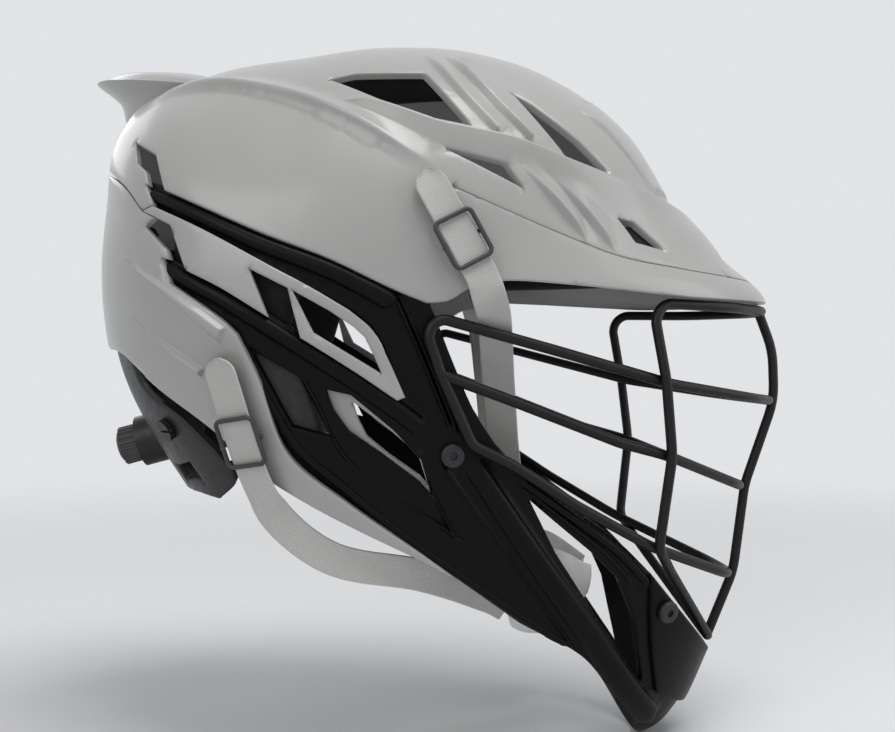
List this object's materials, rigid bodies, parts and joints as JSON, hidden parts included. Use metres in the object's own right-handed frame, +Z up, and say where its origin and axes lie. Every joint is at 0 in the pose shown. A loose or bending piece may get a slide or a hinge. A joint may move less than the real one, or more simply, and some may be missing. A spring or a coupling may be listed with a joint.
{
  "type": "lacrosse helmet",
  "caption": "Lacrosse helmet with a ridged and vented grey shell, a black jaw frame, a welded wire face guard, webbing chin straps and a rear fit dial.",
  "frame": {"origin": "middle of the head cavity on the plane of symmetry", "axes": "+X towards the face, +Z up, +Y to the wearer's left"},
  "size_m": [0.3394, 0.2206, 0.3369],
  "materials": {
    "shell": "glossy light grey shell",
    "frame": "glossy and satin black",
    "rim": "glossy light grey",
    "foam": "matte dark foam",
    "guard": "satin near-black coat",
    "webbing": "off-white woven webbing",
    "adjuster": "satin dark grey",
    "screw": "satin black",
    "stud": "satin grey",
    "cup": "smooth off-white",
    "cup_foam": "soft light grey foam",
    "cradle": "satin black",
    "dial": "grippy black",
    "cap": "satin grey"
  },
  "bodies": {
    "helmet": {"crown_shell": "shell", "visor": "shell", "rear_shell": "shell", "side_band_right": "shell", "side_band_left": "shell", "jaw_frame": "frame", "chin_plate": "frame", "window_rim_right": "rim", "window_rim_left": "rim", "crown_liner": "foam", "front_pad": "foam", "rear_pad": "foam", "side_pad_right": "foam", "side_pad_left": "foam", "ear_pad_right": "foam", "ear_pad_left": "foam", "face_guard": "guard", "strap_front_right": "webbing", "strap_front_left": "webbing", "strap_rear_right": "webbing", "strap_rear_left": "webbing", "strap_studs": "stud", "chin_cup": "cup", "chin_cup_pad": "cup_foam", "jaw_screws": "screw", "chin_screws": "screw"},
    "cradle": {"fit_cradle": "cradle", "dial_housing": "cradle", "cradle_studs": "stud", "occipital_pad": "foam"},
    "dial": {"fit_dial": "dial", "dial_cap": "cap"},
    "slider_front_right": {"slider_front_right": "adjuster"},
    "slider_front_left": {"slider_front_left": "adjuster"},
    "slider_rear_right": {"slider_rear_right": "adjuster"},
    "slider_rear_left": {"slider_rear_left": "adjuster"}
  },
  "joints": [
    {"name": "cradle_slide", "type": "slide", "parent": "helmet", "child": "cradle", "axis": [1, 0, 0], "range_m": [0, 0.01]},
    {"name": "dial_turn", "type": "hinge", "parent": "cradle", "child": "dial", "pos_m": [-0.10701, 0, -0.03596], "axis": [-0.9659, 0, -0.2588], "range_deg": [0, 540]},
    {"name": "slider_front_right_slide", "type": "slide", "parent": "helmet", "child": "slider_front_right", "axis": [0.4795, 0.0155, -0.8774], "range_m": [-0.005, 0.005]},
    {"name": "slider_front_left_slide", "type": "slide", "parent": "helmet", "child": "slider_front_left", "axis": [0.4795, -0.0155, -0.8774], "range_m": [-0.005, 0.005]},
    {"name": "slider_rear_right_slide", "type": "slide", "parent": "helmet", "child": "slider_rear_right", "axis": [0.2559, 0.2706, -0.9281], "range_m": [-0.005, 0.005]},
    {"name": "slider_rear_left_slide", "type": "slide", "parent": "helmet", "child": "slider_rear_left", "axis": [0.2559, -0.2706, -0.9281], "range_m": [-0.005, 0.005]}
  ],
  "couplings": [
    {"joint": "dial_turn", "follows": "cradle_slide", "rad_per_m": 942.48}
  ]
}
